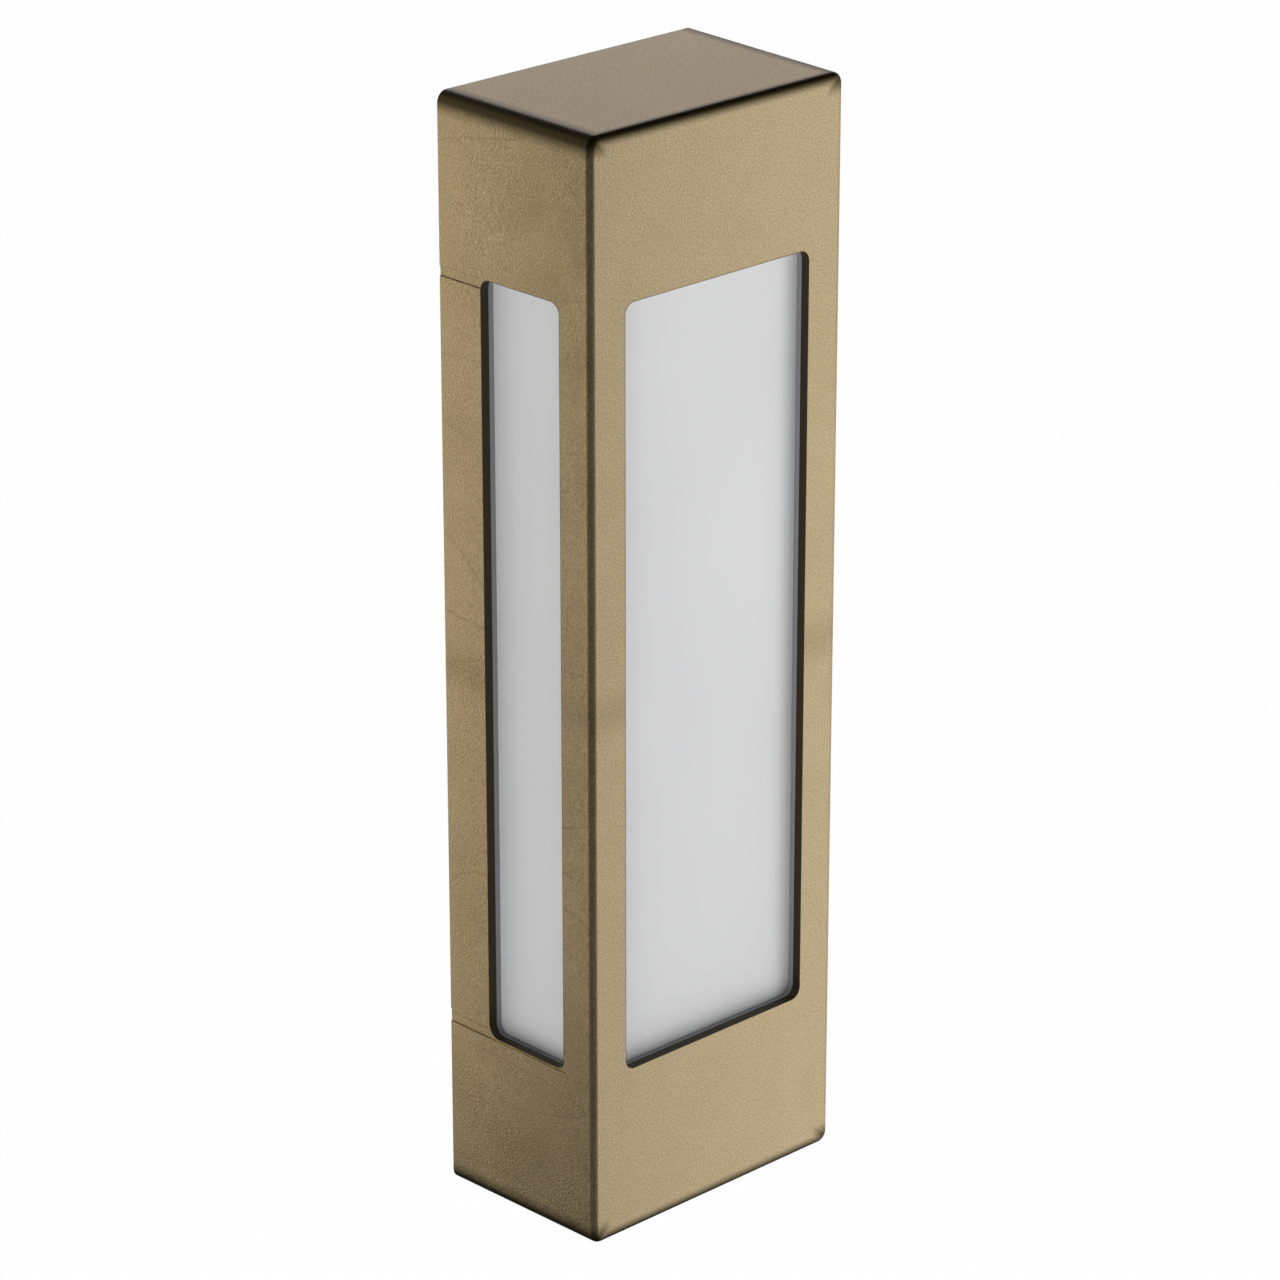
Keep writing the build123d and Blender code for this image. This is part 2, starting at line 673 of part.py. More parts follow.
def terminal_cheeks(grow):
    """The two low walls that keep the terminal in line, or the room that they take up."""
    x_in = terminal_w / 2 + SLIP - grow
    x_out = terminal_w / 2 + SLIP + CHEEK_T + grow
    near = terminal_near + CHEEK_SHORT - grow
    far = terminal_far - CHEEK_SHORT + grow
    return both_sides(block(x_in, x_out, near, far, pocket_base, pocket_floor + CHEEK_H + grow))


def make_rear_cover_seal():
    return ring(seal_near, seal_near + SEAL_W, WALL + RUNNING, cover_inset + SEAL_GROOVE)


def vent_z():
    return chamber_top - VENT_BELOW_CHAMBER


def lead_columns():
    return [-POLE_X, POLE_X]


def grommet_slot(z0, thick, grow):
    """The oval that the supply leads pass through, or a layer of the grommet that fills it."""
    oval = SlotOverall(LEAD_SLOT_L + 2 * grow, LEAD_SLOT_W + 2 * grow)
    return extrude(Plane(origin=(0, -lead_up_reach, z0)) * oval, amount=thick)


def make_lead_grommet():
    body = grommet_slot(pocket_ceiling, POCKET_WALL, -RUNNING)
    body += grommet_slot(pocket_ceiling - GROMMET_LIP_T, GROMMET_LIP_T, GROMMET_LIP)
    body += grommet_slot(pocket_top, GROMMET_LIP_T, GROMMET_LIP)
    for x in lead_columns():
        low = pocket_ceiling - GROMMET_LIP_T - PAST
        body -= post(x, lead_up_reach, low, pocket_top + GROMMET_LIP_T + PAST, LEAD_R + RUNNING)
    return body


# ---- Terminal ----
def make_terminal_block():
    half = terminal_w / 2
    body = block(-half, half, terminal_near, terminal_far, terminal_base, terminal_top)
    body = chamfer(body.edges().filter_by(Axis.X), TERMINAL_CHAMFER)
    slot_far = lever_axis_reach + LEVER_T / 2 + LEVER_SLOT_ROOM
    for x in lead_columns():
        x0 = x - LEVER_W / 2 - LEVER_SIDE_GAP
        x1 = x + LEVER_W / 2 + LEVER_SIDE_GAP
        pin_out = LEVER_PIN_OUT + SNUG
        body -= block(x0, x1, terminal_near - PAST, slot_far, lever_slot_floor, terminal_top + PAST)
        body -= spindle(x0 - pin_out, x1 + pin_out, lever_axis_reach, lever_axis_z, LEVER_PIN_R + RUNNING)
        body -= rod(x, entry_z, terminal_near - PAST, terminal_near + ENTRY_DEPTH, ENTRY_R)
        body -= rod(x, entry_z, terminal_far - LEAD_GRIP, terminal_far + PAST, LEAD_R + RUNNING)
        mouth = Pos(x, -terminal_near - FUNNEL_FLARE, entry_z) * Rot(-90, 0, 0)
        body -= mouth * Cone(ENTRY_R, ENTRY_R + FUNNEL_FLARE, 2 * FUNNEL_FLARE)
        body -= contact_bar(x, SNUG / 2)
    return body


def contact_bar(x, grow):
    """The strip that joins a wire entry to its lead, under both of them."""
    half = CONTACT_W / 2 + grow
    near = terminal_near + CONTACT_FROM_NEAR - grow
    far = terminal_far - CONTACT_FROM_FAR + grow
    low = entry_z - ENTRY_R + CONTACT_LIFT - grow
    high = entry_z - LEAD_R - SNUG + grow
    return block(x - half, x + half, near, far, low, high)


def make_lever(x):
    x0 = x - LEVER_W / 2
    x1 = x + LEVER_W / 2
    tip = lever_axis_reach - LEVER_L
    face = lever_axis_z + LEVER_T / 2
    pins = spindle(x0 - LEVER_PIN_OUT, x1 + LEVER_PIN_OUT, lever_axis_reach, lever_axis_z, LEVER_PIN_R)
    lever = block(x0, x1, tip, lever_axis_reach, lever_axis_z - LEVER_T / 2, face)
    lever += spindle(x0, x1, lever_axis_reach, lever_axis_z, LEVER_T / 2)
    lever += block(x0, x1, tip, tip + GRIP_L, lever_axis_z, face + GRIP_RISE)
    scoop_reach = tip + GRIP_L + SCOOP_FROM_GRIP
    scoop = spindle(x0 - PAST, x1 + PAST, scoop_reach, face + SCOOP_RISE, SCOOP_R)
    return lever - scoop + pins


# ---- Wall bracket ----
def make_wall_bracket():
    plate = block(-bracket_half, bracket_half, 0, SHEET_T, ear_base, bracket_top)
    plate = fillet(plate.edges().filter_by(Axis.Y), BRACKET_CORNER_R)
    flange_base = ear_base + FLANGE_ABOVE_EAR
    flange_top = bracket_top - FLANGE_BELOW_TOP
    for side in (1, -1):
        x_out = side * bracket_half
        flange = block(x_out - side * SHEET_T, x_out, 0, FLANGE_H, flange_base, flange_top)
        plate += fillet(flange.edges().filter_by(Axis.X).sort_by(Axis.Y)[:2], FLANGE_CORNER_R)
        middle = side * ear_x
        ear = block(middle - EAR_W / 2, middle + EAR_W / 2, 0, ear_reach, ear_base, ear_base + SHEET_T)
        ear = fillet(ear.edges().filter_by(Axis.Z).sort_by(Axis.Y)[:2], EAR_CORNER_R)
        plate += ear - terminal_cheeks(SLIP)
        x0 = side * tongue_x - TONGUE_W / 2
        low = tongue_z - SHEET_T / 2
        tongue = block(x0, x0 + TONGUE_W, 0, TONGUE_L, low, low + SHEET_T)
        plate += chamfer(tongue.edges().filter_by(Axis.Z).sort_by(Axis.Y)[:2], TONGUE_CHAMFER)
    # The dish lifts the cable grommet off the wall, so that its rear flange has room.
    plate += rod(0, cable_z, 0, 2 * SHEET_T, DISH_R)
    plate -= rod(0, cable_z, -PAST, SHEET_T, DISH_R - SHEET_T)
    plate -= rod(0, cable_z, 0, 3 * SHEET_T, CABLE_HOLE_R)
    for z in (-WALL_SLOT_Z, WALL_SLOT_Z):
        slot = upright(-PAST) * (Pos(0, z) * Rot(0, 0, 90) * SlotOverall(WALL_SLOT_L, WALL_SLOT_W))
        plate -= extrude(slot, amount=SHEET_T + 2 * PAST)
    return plate


def make_cable_grommet():
    back = SHEET_T - CABLE_GROMMET_BACK
    lip_r = CABLE_HOLE_R + CABLE_GROMMET_LIP
    body = rod(0, cable_z, back, cable_grommet_front, CABLE_HOLE_R - RUNNING)
    body += rod(0, cable_z, back, SHEET_T, lip_r)
    body += rod(0, cable_z, 2 * SHEET_T, cable_grommet_front, lip_r)
    return body - rod(0, cable_z, back - PAST, cable_grommet_front + PAST, CABLE_R)


def make_fixing_screw(x):
    head_top = cup_roof - WASHER_T
    head = post(x, SCREW_REACH, head_top - SCREW_HEAD_H, head_top, SCREW_HEAD_R)
    head = fillet(head.edges().sort_by(Axis.Z)[0], SCREW_HEAD_EDGE_R)
    slot_floor = head_top - SCREW_HEAD_H + DRIVE_DEPTH
    for span, width in ((DRIVE_SPAN, DRIVE_W), (DRIVE_W, DRIVE_SPAN)):
        head -= Pos(x, -SCREW_REACH, slot_floor - PAST) * Box(span, width, 2 * PAST)
    shank = post(x, SCREW_REACH, head_top, screw_tip, SCREW_SHANK_R)
    shank = chamfer(shank.edges().sort_by(Axis.Z)[-1], SCREW_POINT)
    return head + shank


def make_screw_washer(x):
    disc = post(x, SCREW_REACH, cup_roof - WASHER_T, cup_roof, SCREW_HEAD_R)
    low = cup_roof - WASHER_T - PAST
    return disc - post(x, SCREW_REACH, low, cup_roof + PAST, SCREW_SHANK_R + RUNNING)


def make_inserts():
    inserts = []
    for x in (-ear_x, ear_x):
        top = pocket_base + INSERT_H
        bore = post(x, SCREW_REACH, pocket_base - PAST, top + PAST, SCREW_SHANK_R + RUNNING)
        inserts.append(post(x, SCREW_REACH, pocket_base, top, INSERT_R) - bore)
    return inserts


# ---- Leads ----
def make_supply_lead(x):
    points = [
        (x, -terminal_far + LEAD_GRIP - PAST, entry_z),
        (x, -lead_up_reach, entry_z),
        (x, -lead_up_reach, lead_cross_z),
        (x, -lead_back_reach, lead_cross_z),
        (x, -lead_back_reach, lead_driver_z),
        (x, -driver_near - DRIVER_WALL, lead_driver_z),
    ]
    return lead(points, [LEAD_TIGHT_BEND, LEAD_BEND, LEAD_BEND, LEAD_BEND])


def make_led_lead(number):
    x = led_lead_x(number)
    z = led_lead_z + LED_LEAD_STEP * (0.5 - number)
    front = board_front + LEAD_R + SNUG
    points = [
        (x, -driver_near - DRIVER_WALL, lead_driver_z),
        (x, -lead_back_reach, lead_driver_z),
        (x, -lead_back_reach, z),
        (x, -front, z),
        (BOARD_W / 2 - LED_LEAD_OVERLAP, -front, z),
    ]
    return lead(points, [LEAD_BEND, LED_LEAD_BEND, LED_LEAD_BEND])


# ---- Every node of the lantern ----
right_gasket = make_side_gasket()
right_pane = make_side_pane()
nodes = {
    "housing": make_housing(),
    "front_window_gasket": make_front_gasket(),
    "right_window_gasket": right_gasket,
    "left_window_gasket": mirror(right_gasket, Plane.YZ),
    "front_pane": make_front_pane(),
    "right_pane": right_pane,
    "left_pane": mirror(right_pane, Plane.YZ),
    "light_chamber": make_light_chamber(),
    "chamber_screws": small_screws(lug_places, lug_near, CHAMBER_SCREW_L),
    "led_plate": make_led_plate(),
    "led_plate_screws": small_screws(plate_screw_places, PLATE_SEAT - PLATE_T, PLATE_SCREW_L),
    "led_board": make_led_board(),
    "led_chips": make_led_chips(),
    "led_driver_case": make_driver_case(),
    "led_driver_lid": make_driver_lid(),
    "led_driver_board": make_driver_board(),
    "led_driver_components": make_driver_components(),
    "rear_cover": make_rear_cover(),
    "rear_cover_seal": make_rear_cover_seal(),
    "rear_cover_screws": small_screws(boss_places, COVER_REACH, COVER_SCREW_L),
    "wall_foam_seal": ring(0, FOAM_T, cover_inset, cover_inset + SKIRT_T),
    "vent_patch": rod(0, vent_z(), COVER_REACH - VENT_PATCH_T, COVER_REACH, VENT_PATCH_R),
    "lead_grommet": make_lead_grommet(),
    "terminal_block": make_terminal_block(),
    "terminal_contacts": [contact_bar(x, 0) for x in lead_columns()],
    "live_lever": make_lever(-POLE_X),
    "neutral_lever": make_lever(POLE_X),
    "brass_inserts": make_inserts(),
    "live_lead": make_supply_lead(-POLE_X),
    "neutral_lead": make_supply_lead(POLE_X),
    "led_positive_lead": make_led_lead(0),
    "led_negative_lead": make_led_lead(1),
    "wall_bracket": make_wall_bracket(),
    "cable_grommet": make_cable_grommet(),
    "left_fixing_screw": make_fixing_screw(-ear_x),
    "right_fixing_screw": make_fixing_screw(ear_x),
    "left_screw_washer": make_screw_washer(-ear_x),
    "right_screw_washer": make_screw_washer(ear_x),
}

os.makedirs("parts", exist_ok=True)
for name, shape in nodes.items():
    if isinstance(shape, list):
        shape = Compound(children=[solid for piece in shape for solid in piece.solids()])
    export_step(shape, f"parts/{name}.step")
    print(name, "written")
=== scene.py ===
import math

import bpy
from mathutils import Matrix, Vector


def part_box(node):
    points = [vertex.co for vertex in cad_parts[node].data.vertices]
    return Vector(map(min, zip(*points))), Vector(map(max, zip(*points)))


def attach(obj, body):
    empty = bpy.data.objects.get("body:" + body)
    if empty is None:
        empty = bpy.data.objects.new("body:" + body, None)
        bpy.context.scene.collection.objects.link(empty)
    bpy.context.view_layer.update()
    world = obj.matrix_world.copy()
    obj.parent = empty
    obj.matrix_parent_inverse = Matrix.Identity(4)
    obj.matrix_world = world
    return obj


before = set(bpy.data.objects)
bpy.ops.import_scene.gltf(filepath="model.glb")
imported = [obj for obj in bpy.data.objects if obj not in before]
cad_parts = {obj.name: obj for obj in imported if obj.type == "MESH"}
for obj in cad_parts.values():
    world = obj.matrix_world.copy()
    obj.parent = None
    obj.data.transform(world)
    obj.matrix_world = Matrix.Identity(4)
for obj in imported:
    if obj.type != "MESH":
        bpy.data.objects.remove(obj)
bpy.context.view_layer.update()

MM = 0.001

# ---- Sizes read from the frame ----
SHELL_LOW, SHELL_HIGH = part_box("housing")
HALF_WIDTH = SHELL_HIGH.x
HALF_HEIGHT = SHELL_HIGH.z
DEPTH = -SHELL_LOW.y
DRAFT = math.tan(math.radians(0.8))
FRONT_EDGE_R = 1.6 * MM
CORNER_R = 3.0 * MM
WALL = 2.5 * MM
WINDOW_R = 3.0 * MM
PANE_LAP = 4.0 * MM

FRONT_PANE_LOW, FRONT_PANE_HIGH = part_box("front_pane")
SIDE_PANE_LOW, SIDE_PANE_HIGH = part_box("right_pane")
WINDOW_MID = (FRONT_PANE_LOW.z + FRONT_PANE_HIGH.z) / 2
WINDOW_RISE = (FRONT_PANE_HIGH.z - FRONT_PANE_LOW.z) / 2 - PANE_LAP
FRONT_WINDOW_HALF = FRONT_PANE_HIGH.x - PANE_LAP
SIDE_WINDOW_MID = -(SIDE_PANE_LOW.y + SIDE_PANE_HIGH.y) / 2
SIDE_WINDOW_HALF = (SIDE_PANE_HIGH.y - SIDE_PANE_LOW.y) / 2 - PANE_LAP


# ---- Small helpers ----
def colour(code):
    """An sRGB hex colour as the linear RGBA that shaders take."""
    parts = [int(code[i:i + 2], 16) / 255 for i in (1, 3, 5)]
    return [p / 12.92 if p <= 0.04045 else ((p + 0.055) / 1.055) ** 2.4 for p in parts] + [1.0]


def add(tree, kind, links=None, **settings):
    """Adds a node, gives it its settings, and fills its sockets with values or other nodes' outputs."""
    made = tree.nodes.new(kind)
    for name, value in settings.items():
        setattr(made, name, value)
    for key, value in (links or {}).items():
        open_sockets = [s for s in made.inputs if s.enabled]
        socket = open_sockets[key] if isinstance(key, int) else next(s for s in open_sockets if s.name == key)
        if isinstance(value, bpy.types.Node):
            value = next(s for s in value.outputs if s.enabled)
        if isinstance(value, bpy.types.NodeSocket):
            tree.links.new(value, socket)
        else:
            socket.default_value = value
    return made


def start(name, **values):
    """A material with its shader's uniform values set, and the object's coordinates to build patterns on."""
    material = bpy.data.materials.new(name)
    material.use_nodes = True
    tree = material.node_tree
    shader = tree.nodes["Principled BSDF"]
    for socket, value in values.items():
        shader.inputs[socket.replace("_", " ")].default_value = value
    place = add(tree, "ShaderNodeTexCoord").outputs["Object"]
    return material, tree, shader, place


def feed(tree, shader, **sources):
    """Links patterns into the shader's sockets."""
    for socket, source in sources.items():
        out = next(s for s in source.outputs if s.enabled)
        tree.links.new(out, shader.inputs[socket.replace("_", " ")])


# ---- The shell's finish ----
REVEAL_RIM = 0.25 * MM
ON_SKIN = 0.4 * MM
KNIT_Z = -1.0 * MM
KNIT_HALF = 0.22 * MM
KNIT_SHADE = 9.0 * MM
BAND_H = 2.6 * MM
BAND_SHIFT = 0.35 * MM
BAND_DROP = 0.95 * MM
BAND_SHADE_HALF = 0.25 * MM
PAINT_GRAIN = 0.5 * MM
PAINT_GRAIN_DEPTH = 0.055 * MM
ORANGE_PEEL = 5.0 * MM
FLOW_MARK = 30.0 * MM
FOLD_LENGTH = 110.0 * MM
FOLD_PITCH = 34.0 * MM


def bronze_shell():
    """Satin bronze-gold metallic paint over fine-textured ABS: a warm metal sheen, with a painted dark
    reflection over the rounded top and bottom edges, darker paint and painted shade inside the window
    openings, faint knit and flow lines, and painted shade lines along the edges of the bands behind the side
    windows."""
    material, tree, shader, place = start("satin_bronze_paint_on_abs", Metallic=0.92, Coat_Weight=0.0)
    spread = add(tree, "ShaderNodeVectorMath", {0: place}, operation="ABSOLUTE")
    parts = add(tree, "ShaderNodeSeparateXYZ", {0: spread})
    across, reach, rise = parts.outputs
    lean = add(tree, "ShaderNodeMath", {0: reach, 1: DRAFT}, operation="MULTIPLY")
    from_front = add(tree, "ShaderNodeMath", {0: DEPTH, 1: reach}, operation="SUBTRACT")
    across_lean = add(tree, "ShaderNodeMath", {0: across, 1: lean}, operation="ADD")
    from_side = add(tree, "ShaderNodeMath", {0: HALF_WIDTH, 1: across_lean}, operation="SUBTRACT")
    rise_lean = add(tree, "ShaderNodeMath", {0: rise, 1: lean}, operation="ADD")
    from_end = add(tree, "ShaderNodeMath", {0: HALF_HEIGHT, 1: rise_lean}, operation="SUBTRACT")

    # How far round each edge's curve a point lies, from the two faces that meet there.
    front_side = add(tree, "ShaderNodeMath", {0: from_front, 1: from_side}, operation="MAXIMUM")
    front_end = add(tree, "ShaderNodeMath", {0: from_front, 1: from_end}, operation="MAXIMUM")
    side_end = add(tree, "ShaderNodeMath", {0: from_side, 1: from_end}, operation="MAXIMUM")
    corner = add(tree, "ShaderNodeMath", {0: side_end, 1: FRONT_EDGE_R / CORNER_R}, operation="MULTIPLY")
    nearest = add(tree, "ShaderNodeMath", {0: front_end, 1: corner}, operation="MINIMUM")
    # Painted dark reflection: the rounded edges round the top and bottom are coloured dark, as if mirroring
    # the dim room.
    painted_edge_reflection = add(tree, "ShaderNodeMapRange", {
        "Value": nearest, "From Min": 2.2 * FRONT_EDGE_R, "From Max": 0.5 * FRONT_EDGE_R},
        interpolation_type="SMOOTHSTEP")
    upright = add(tree, "ShaderNodeMapRange", {
        "Value": front_side, "From Min": 1.6 * FRONT_EDGE_R, "From Max": 0.3 * FRONT_EDGE_R},
        interpolation_type="SMOOTHSTEP")

    # The inner faces of the round-cornered window openings, and a hair's breadth of rim round them.
    # Darker paint with painted shade on these inner faces, and a painted shadow line on the rim.
    height = add(tree, "ShaderNodeSeparateXYZ", {0: place}).outputs["Z"]
    offset = add(tree, "ShaderNodeMath", {0: height, 1: WINDOW_MID}, operation="SUBTRACT")
    offset_size = add(tree, "ShaderNodeMath", {0: offset}, operation="ABSOLUTE")
    past_end = add(tree, "ShaderNodeMath", {0: offset_size, 1: WINDOW_RISE}, operation="SUBTRACT")
    past_front = add(tree, "ShaderNodeMath", {0: across, 1: FRONT_WINDOW_HALF}, operation="SUBTRACT")
    side_offset = add(tree, "ShaderNodeMath", {0: reach, 1: SIDE_WINDOW_MID}, operation="SUBTRACT")
    side_size = add(tree, "ShaderNodeMath", {0: side_offset}, operation="ABSOLUTE")
    past_side = add(tree, "ShaderNodeMath", {0: side_size, 1: SIDE_WINDOW_HALF}, operation="SUBTRACT")
    window_reveal_paint_and_shade_parts = []
    for past, skin in ((past_front, from_front), (past_side, from_side)):
        outside = add(tree, "ShaderNodeCombineXYZ", {"X": past, "Y": past_end})
        outside = add(tree, "ShaderNodeVectorMath", {0: outside, 1: (WINDOW_R, WINDOW_R, 0)}, operation="ADD")
        outside = add(tree, "ShaderNodeVectorMath", {0: outside, 1: (0, 0, 0)}, operation="MAXIMUM")
        outside = add(tree, "ShaderNodeVectorMath", {0: outside}, operation="LENGTH")
        inside = add(tree, "ShaderNodeMapRange", {
            "Value": outside, "From Min": WINDOW_R + REVEAL_RIM, "From Max": WINDOW_R + 0.2 * REVEAL_RIM})
        in_wall = add(tree, "ShaderNodeMath", {0: skin, 1: 1.3 * WALL}, operation="LESS_THAN")
        window_reveal_paint_and_shade_parts.append(add(tree, "ShaderNodeMath", {0: inside, 1: in_wall}, operation="MULTIPLY"))
    window_reveal_paint_and_shade = add(tree, "ShaderNodeMath", {0: window_reveal_paint_and_shade_parts[0], 1: window_reveal_paint_and_shade_parts[1]}, operation="MAXIMUM")

    # Knit line: where the two flows of plastic met, halfway up each post, with a soft shade about it.
    from_knit = add(tree, "ShaderNodeMath", {0: height, 1: KNIT_Z}, operation="SUBTRACT")
    from_knit = add(tree, "ShaderNodeMath", {0: from_knit}, operation="ABSOLUTE")
    line = add(tree, "ShaderNodeMapRange", {
        "Value": from_knit, "From Min": KNIT_HALF, "From Max": 0.0, "To Max": 0.4})
    shade = add(tree, "ShaderNodeMapRange", {
        "Value": from_knit, "From Min": KNIT_SHADE, "From Max": 0.0, "To Max": 0.2},
        interpolation_type="SMOOTHSTEP")
    knit = add(tree, "ShaderNodeMath", {0: line, 1: shade}, operation="MAXIMUM")

    # Painted shade lines at both edges of the shallow bands behind the side windows, where the steps meet the
    # side face.
    off_bands = add(tree, "ShaderNodeMath", {0: offset, 1: BAND_SHIFT}, operation="ADD")
    off_bands = add(tree, "ShaderNodeMath", {0: off_bands}, operation="ABSOLUTE")
    off_bands = add(tree, "ShaderNodeMath", {0: off_bands, 1: WINDOW_RISE - BAND_DROP}, operation="SUBTRACT")
    off_bands = add(tree, "ShaderNodeMath", {0: off_bands}, operation="ABSOLUTE")
    off_line = add(tree, "ShaderNodeMath", {0: off_bands, 1: BAND_H / 2}, operation="SUBTRACT")
    off_line = add(tree, "ShaderNodeMath", {0: off_line}, operation="ABSOLUTE")
    painted_band_edge_shade = add(tree, "ShaderNodeMapRange", {
        "Value": off_line, "From Min": BAND_SHADE_HALF, "From Max": 0.0, "To Max": 0.45})
    window_near = SIDE_WINDOW_MID - SIDE_WINDOW_HALF
    behind = add(tree, "ShaderNodeMath", {0: reach, 1: window_near}, operation="LESS_THAN")
    on_side = add(tree, "ShaderNodeMath", {0: from_side, 1: ON_SKIN}, operation="LESS_THAN")
    behind = add(tree, "ShaderNodeMath", {0: behind, 1: on_side}, operation="MULTIPLY")
    painted_band_edge_shade = add(tree, "ShaderNodeMath", {0: painted_band_edge_shade, 1: behind}, operation="MULTIPLY")

    # Metal flake is finer than can show, so its sparkle is drawn at the width of the moulded grain.
    flake = add(tree, "ShaderNodeTexNoise", {"Vector": place, "Scale": 1 / PAINT_GRAIN, "Detail": 2.0})
    flow = add(tree, "ShaderNodeTexNoise", {
        "Vector": place, "Scale": 1 / FLOW_MARK, "Detail": 1.0, "Distortion": 1.5})
    sparkle = add(tree, "ShaderNodeMapRange", {"Value": flake, "From Min": 0.15, "From Max": 0.85})
    paint = add(tree, "ShaderNodeMix", {"Factor": sparkle, "A": colour("#9A855F"), "B": colour("#DCC79F")},
                data_type="RGBA")
    clouded = add(tree, "ShaderNodeMix", {"Factor": flow, "A": colour("#E9E6E2"), "B": colour("#FFFFFF")},
                  data_type="RGBA")
    paint = add(tree, "ShaderNodeMix", {"Factor": 1.0, "A": paint, "B": clouded}, data_type="RGBA",
                blend_type="MULTIPLY")
    # Flow marks: faint crooked lines on the sides, where the plastic cooled in folds.
    drawn = add(tree, "ShaderNodeMapping", {"Vector": place, "Scale": (1.0, 1 / FOLD_LENGTH, 1 / FOLD_PITCH)})
    fold = add(tree, "ShaderNodeTexNoise", {"Vector": drawn, "Scale": 1.0, "Detail": 0.0, "Distortion": 0.4})
    fold = add(tree, "ShaderNodeMath", {0: fold, 1: 0.5}, operation="SUBTRACT")
    fold = add(tree, "ShaderNodeMath", {0: fold}, operation="ABSOLUTE")
    fold = add(tree, "ShaderNodeMapRange", {
        "Value": fold, "From Min": 0.006, "From Max": 0.0, "To Max": 0.22})
    fold = add(tree, "ShaderNodeMath", {0: fold, 1: on_side}, operation="MULTIPLY")
    darker = (
        (fold, "#5F5132"),
        (knit, "#5F5132"),
        # painted shade lines at the band edges
        (painted_band_edge_shade, "#4A3F28"),
        # painted dark reflection on the rounded top and bottom edges
        (painted_edge_reflection, "#3E3418"),
        # darker paint with painted shade inside the window openings, and a painted shadow line on their rims
        (window_reveal_paint_and_shade, "#4A4234"),
    )
    for mask, dark in darker:
        paint = add(tree, "ShaderNodeMix", {"Factor": mask, "A": paint, "B": colour(dark)}, data_type="RGBA")

    rough = add(tree, "ShaderNodeMapRange", {"Value": flow, "To Min": 0.33, "To Max": 0.41})
    duller = add(tree, "ShaderNodeMath", {0: upright, 1: window_reveal_paint_and_shade}, operation="MAXIMUM")
    rough = add(tree, "ShaderNodeMath", {0: rough, 1: duller}, operation="MAXIMUM")
    rough = add(tree, "ShaderNodeMath", {0: rough, 1: 0.55}, operation="MINIMUM")
    peel = add(tree, "ShaderNodeTexNoise", {"Vector": place, "Scale": 1 / ORANGE_PEEL, "Detail": 0.0})
    wave = add(tree, "ShaderNodeBump", {"Height": peel, "Strength": 0.25, "Distance": 0.02 * MM})
    grain = add(tree, "ShaderNodeBump", {"Height": flake, "Strength": 1.0, "Distance": PAINT_GRAIN_DEPTH,
                                         "Normal": wave})
    feed(tree, shader, Base_Color=paint, Roughness=rough, Normal=grain)
    return material


# ---- Plastics, rubbers and the opal panes ----
def moulded(name, base, roughness, grain=0.5 * MM, depth=0.01 * MM, shift=0.06, **values):
    """Moulded plastic: spark-eroded grain in the surface, and a faint cloudiness from the melt."""
    material, tree, shader, place = start(name, **values)
    melt = add(tree, "ShaderNodeTexNoise", {"Vector": place, "Scale": 1 / (12 * MM), "Detail": 2.0})
    light = colour(base)
    dark = [part * (1 - 2 * shift) for part in light[:3]] + [1.0]
    tone = add(tree, "ShaderNodeMix", {"Factor": melt, "A": dark, "B": light}, data_type="RGBA")
    eroded = add(tree, "ShaderNodeTexNoise", {"Vector": place, "Scale": 1 / grain, "Detail": 3.0})
    rough = add(tree, "ShaderNodeMapRange", {
        "Value": eroded, "To Min": roughness - 0.06, "To Max": roughness + 0.06})
    bump = add(tree, "ShaderNodeBump", {"Height": eroded, "Distance": depth})
    feed(tree, shader, Base_Color=tone, Roughness=rough, Normal=bump)
    return material


def opal_acrylic():
    """Opal cast acrylic, satin side out: white through and through, with a soft veil of light in it."""
    material, tree, shader, place = start(
        "opal_cast_acrylic", IOR=1.49, Subsurface_Weight=0.3, Subsurface_Radius=(1, 1, 1),
        Subsurface_Scale=1.2 * MM, Coat_Weight=0.12, Coat_Roughness=0.25)
    veil = add(tree, "ShaderNodeTexNoise", {"Vector": place, "Scale": 1 / (45 * MM), "Detail": 1.0})
    tone = add(tree, "ShaderNodeMix", {"Factor": veil, "A": colour("#E6E6E7"), "B": colour("#EFEFEF")},
               data_type="RGBA")
    frost = add(tree, "ShaderNodeTexNoise", {"Vector": place, "Scale": 1 / (0.35 * MM), "Detail": 2.0})
    rough = add(tree, "ShaderNodeMapRange", {"Value": frost, "To Min": 0.42, "To Max": 0.52})
    bump = add(tree, "ShaderNodeBump", {"Height": frost, "Strength": 0.5, "Distance": 0.004 * MM})
    feed(tree, shader, Base_Color=tone, Roughness=rough, Normal=bump)
    return material


def silicone_sponge():
    """Closed-cell silicone sponge, die-cut: matt mid grey with fine open pores on its cut face."""
    material, tree, shader, place = start("grey_silicone_sponge", IOR=1.41)
    pores = add(tree, "ShaderNodeTexVoronoi", {"Vector": place, "Scale": 1 / (0.4 * MM)})
    tone = add(tree, "ShaderNodeMapRange", {"Value": pores, "From Max": 0.5})
    tone = add(tree, "ShaderNodeMix", {"Factor": tone, "A": colour("#84868A"), "B": colour("#989A9D")},
               data_type="RGBA")
    bump = add(tree, "ShaderNodeBump", {"Height": pores, "Distance": 0.03 * MM})
    rough = add(tree, "ShaderNodeMapRange", {"Value": pores, "To Min": 0.9, "To Max": 0.75})
    feed(tree, shader, Base_Color=tone, Roughness=rough, Normal=bump)
    return material


